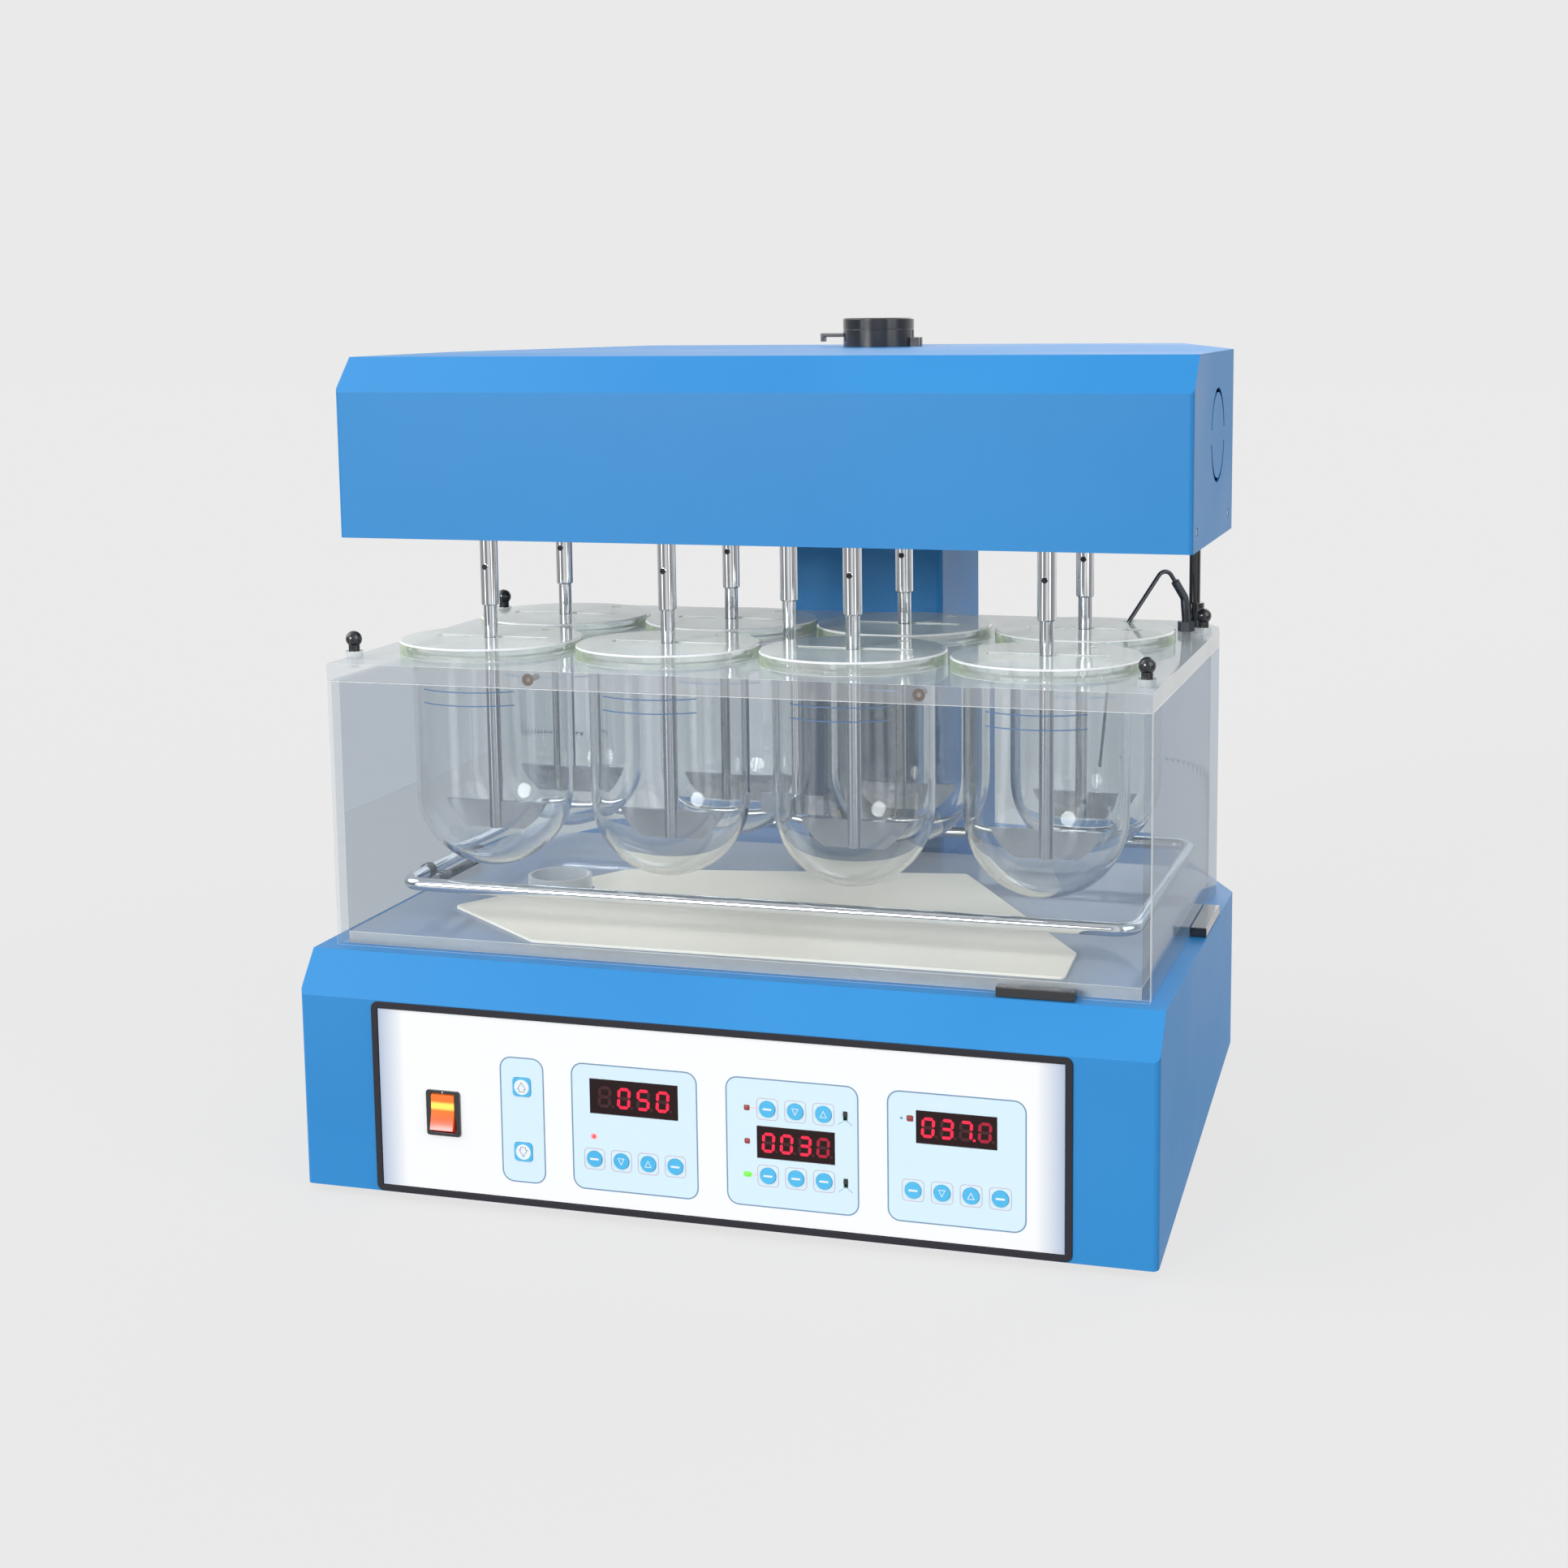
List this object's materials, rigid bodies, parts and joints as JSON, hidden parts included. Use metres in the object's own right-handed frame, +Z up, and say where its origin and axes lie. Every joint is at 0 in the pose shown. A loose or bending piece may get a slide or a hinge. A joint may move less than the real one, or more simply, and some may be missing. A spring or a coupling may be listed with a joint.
{
  "type": "tablet dissolution tester",
  "caption": "Benchtop tablet dissolution tester: sloped base with controls, clear water bath with lidded round-bottom vessels, and a lifting head with paddle stirrers.",
  "frame": {"origin": "centre of the bounding box at the floor, under the feet", "axes": "+X to the right seen from the controls, +Y to the rear, +Z up"},
  "size_m": [0.585, 0.516, 0.579],
  "materials": {
    "painted_blue": "satin paint",
    "fascia_film": "printed film",
    "black_rubber": "matt",
    "black_plastic": "gloss",
    "clear_acrylic": "polished",
    "clear_glass": "polished",
    "stainless": "brushed",
    "bright_steel": "polished",
    "aluminium_plate": "milled",
    "key_blue": "satin",
    "rocker_amber": "lit from inside",
    "ivory_mat": "matt",
    "board_green": "solder mask",
    "belt_black": "matt",
    "bearing_steel": "ground",
    "motor_black": "matt paint"
  },
  "bodies": {
    "base": {"base_housing": "painted_blue", "chassis_plate": "aluminium_plate", "rubber_feet": "black_rubber", "fascia_panel": "fascia_film", "fascia_gasket": "black_rubber", "display_windows": "black_plastic", "circuit_boards": "board_green", "mains_switch_body": "black_plastic", "power_inlet": "black_plastic", "water_bath_tank": "clear_acrylic", "tank_mat": "ivory_mat", "tank_stops": "black_plastic", "heater_tube": "stainless", "tank_fittings": "clear_acrylic", "vessel_plate": "clear_acrylic", "plate_knobs": "black_plastic", "vessels": "clear_glass", "vessel_lids": "clear_acrylic", "temperature_probe": "stainless", "column_cover": "painted_blue", "guide_bushes": "bearing_steel", "lift_motor": "motor_black"},
    "head": {"head_cover": "painted_blue", "head_base_plate": "aluminium_plate", "lift_rods": "bright_steel", "post_collar": "black_plastic", "drive_motor": "motor_black", "drive_belts": "belt_black", "spindle_bearings": "bearing_steel", "stop_rod": "black_rubber"},
    "lift_screw": {"lift_screw": "bright_steel"},
    "collar_lever": {"collar_lever": "black_plastic"},
    "bath_stirrer": {"bath_stirrer": "stainless"},
    "stirrer_1": {"stirrer_1": "stainless"},
    "stirrer_2": {"stirrer_2": "stainless"},
    "stirrer_3": {"stirrer_3": "stainless"},
    "stirrer_4": {"stirrer_4": "stainless"},
    "stirrer_5": {"stirrer_5": "stainless"},
    "stirrer_6": {"stirrer_6": "stainless"},
    "stirrer_7": {"stirrer_7": "stainless"},
    "stirrer_8": {"stirrer_8": "stainless"},
    "mains_rocker": {"mains_rocker": "rocker_amber"},
    "slide_switch_upper": {"slide_switch_upper": "black_plastic"},
    "slide_switch_lower": {"slide_switch_lower": "black_plastic"},
    "key_lift_up": {"key_lift_up": "key_blue"},
    "key_lift_down": {"key_lift_down": "key_blue"},
    "key_speed_1": {"key_speed_1": "key_blue"},
    "key_speed_2": {"key_speed_2": "key_blue"},
    "key_speed_3": {"key_speed_3": "key_blue"},
    "key_speed_4": {"key_speed_4": "key_blue"},
    "key_timer_1": {"key_timer_1": "key_blue"},
    "key_timer_2": {"key_timer_2": "key_blue"},
    "key_timer_3": {"key_timer_3": "key_blue"},
    "key_timer_4": {"key_timer_4": "key_blue"},
    "key_timer_5": {"key_timer_5": "key_blue"},
    "key_timer_6": {"key_timer_6": "key_blue"},
    "key_temp_1": {"key_temp_1": "key_blue"},
    "key_temp_2": {"key_temp_2": "key_blue"},
    "key_temp_3": {"key_temp_3": "key_blue"},
    "key_temp_4": {"key_temp_4": "key_blue"}
  },
  "joints": [
    {"name": "head_lift", "type": "slide", "parent": "base", "child": "head", "axis": [0, 0, 1], "range_m": [0, 0.16]},
    {"name": "lift_screw_turn", "type": "hinge", "parent": "base", "child": "lift_screw", "pos_m": [0, 0.16151, 0.118], "axis": [0, 0, 1], "range_deg": [0, 11520]},
    {"name": "collar_lever_swing", "type": "hinge", "parent": "head", "child": "collar_lever", "pos_m": [-0.0241, 0.16151, 0.566], "axis": [0, 0, -1], "range_deg": [0, 90]},
    {"name": "bath_stirrer_spin", "type": "hinge", "parent": "head", "child": "bath_stirrer", "pos_m": [0, -0.07189, 0.45], "axis": [0, 0, 1], "continuous": true},
    {"name": "stirrer_1_spin", "type": "hinge", "parent": "head", "child": "stirrer_1", "pos_m": [-0.195, -0.13689, 0.45], "axis": [0, 0, 1], "continuous": true},
    {"name": "stirrer_2_spin", "type": "hinge", "parent": "head", "child": "stirrer_2", "pos_m": [-0.065, -0.13689, 0.45], "axis": [0, 0, 1], "continuous": true},
    {"name": "stirrer_3_spin", "type": "hinge", "parent": "head", "child": "stirrer_3", "pos_m": [0.065, -0.13689, 0.45], "axis": [0, 0, 1], "continuous": true},
    {"name": "stirrer_4_spin", "type": "hinge", "parent": "head", "child": "stirrer_4", "pos_m": [0.195, -0.13689, 0.45], "axis": [0, 0, 1], "continuous": true},
    {"name": "stirrer_5_spin", "type": "hinge", "parent": "head", "child": "stirrer_5", "pos_m": [-0.195, -0.00689, 0.45], "axis": [0, 0, 1], "continuous": true},
    {"name": "stirrer_6_spin", "type": "hinge", "parent": "head", "child": "stirrer_6", "pos_m": [-0.065, -0.00689, 0.45], "axis": [0, 0, 1], "continuous": true},
    {"name": "stirrer_7_spin", "type": "hinge", "parent": "head", "child": "stirrer_7", "pos_m": [0.065, -0.00689, 0.45], "axis": [0, 0, 1], "continuous": true},
    {"name": "stirrer_8_spin", "type": "hinge", "parent": "head", "child": "stirrer_8", "pos_m": [0.195, -0.00689, 0.45], "axis": [0, 0, 1], "continuous": true},
    {"name": "mains_rocker_tilt", "type": "hinge", "parent": "base", "child": "mains_rocker", "pos_m": [-0.1854, -0.25049, 0.0635], "axis": [1, 0, 0], "range_deg": [0, 16]},
    {"name": "slide_switch_upper_slide", "type": "slide", "parent": "base", "child": "slide_switch_upper", "axis": [0, 0, 1], "range_m": [-0.003, 0]},
    {"name": "slide_switch_lower_slide", "type": "slide", "parent": "base", "child": "slide_switch_lower", "axis": [0, 0, 1], "range_m": [-0.003, 0]},
    {"name": "key_lift_up_press", "type": "slide", "parent": "base", "child": "key_lift_up", "axis": [0, 1, 0], "range_m": [0, 0.0004], "stiffness_N_per_m": 500},
    {"name": "key_lift_down_press", "type": "slide", "parent": "base", "child": "key_lift_down", "axis": [0, 1, 0], "range_m": [0, 0.0004], "stiffness_N_per_m": 500},
    {"name": "key_speed_1_press", "type": "slide", "parent": "base", "child": "key_speed_1", "axis": [0, 1, 0], "range_m": [0, 0.0004], "stiffness_N_per_m": 500},
    {"name": "key_speed_2_press", "type": "slide", "parent": "base", "child": "key_speed_2", "axis": [0, 1, 0], "range_m": [0, 0.0004], "stiffness_N_per_m": 500},
    {"name": "key_speed_3_press", "type": "slide", "parent": "base", "child": "key_speed_3", "axis": [0, 1, 0], "range_m": [0, 0.0004], "stiffness_N_per_m": 500},
    {"name": "key_speed_4_press", "type": "slide", "parent": "base", "child": "key_speed_4", "axis": [0, 1, 0], "range_m": [0, 0.0004], "stiffness_N_per_m": 500},
    {"name": "key_timer_1_press", "type": "slide", "parent": "base", "child": "key_timer_1", "axis": [0, 1, 0], "range_m": [0, 0.0004], "stiffness_N_per_m": 500},
    {"name": "key_timer_2_press", "type": "slide", "parent": "base", "child": "key_timer_2", "axis": [0, 1, 0], "range_m": [0, 0.0004], "stiffness_N_per_m": 500},
    {"name": "key_timer_3_press", "type": "slide", "parent": "base", "child": "key_timer_3", "axis": [0, 1, 0], "range_m": [0, 0.0004], "stiffness_N_per_m": 500},
    {"name": "key_timer_4_press", "type": "slide", "parent": "base", "child": "key_timer_4", "axis": [0, 1, 0], "range_m": [0, 0.0004], "stiffness_N_per_m": 500},
    {"name": "key_timer_5_press", "type": "slide", "parent": "base", "child": "key_timer_5", "axis": [0, 1, 0], "range_m": [0, 0.0004], "stiffness_N_per_m": 500},
    {"name": "key_timer_6_press", "type": "slide", "parent": "base", "child": "key_timer_6", "axis": [0, 1, 0], "range_m": [0, 0.0004], "stiffness_N_per_m": 500},
    {"name": "key_temp_1_press", "type": "slide", "parent": "base", "child": "key_temp_1", "axis": [0, 1, 0], "range_m": [0, 0.0004], "stiffness_N_per_m": 500},
    {"name": "key_temp_2_press", "type": "slide", "parent": "base", "child": "key_temp_2", "axis": [0, 1, 0], "range_m": [0, 0.0004], "stiffness_N_per_m": 500},
    {"name": "key_temp_3_press", "type": "slide", "parent": "base", "child": "key_temp_3", "axis": [0, 1, 0], "range_m": [0, 0.0004], "stiffness_N_per_m": 500},
    {"name": "key_temp_4_press", "type": "slide", "parent": "base", "child": "key_temp_4", "axis": [0, 1, 0], "range_m": [0, 0.0004], "stiffness_N_per_m": 500}
  ],
  "couplings": [
    {"joint": "lift_screw_turn", "follows": "head_lift", "rad_per_m": 1256.6},
    {"joint": "stirrer_1_spin", "follows": "bath_stirrer_spin", "ratio": 1},
    {"joint": "stirrer_2_spin", "follows": "bath_stirrer_spin", "ratio": 1},
    {"joint": "stirrer_3_spin", "follows": "bath_stirrer_spin", "ratio": 1},
    {"joint": "stirrer_4_spin", "follows": "bath_stirrer_spin", "ratio": 1},
    {"joint": "stirrer_5_spin", "follows": "bath_stirrer_spin", "ratio": 1},
    {"joint": "stirrer_6_spin", "follows": "bath_stirrer_spin", "ratio": 1},
    {"joint": "stirrer_7_spin", "follows": "bath_stirrer_spin", "ratio": 1},
    {"joint": "stirrer_8_spin", "follows": "bath_stirrer_spin", "ratio": 1}
  ]
}
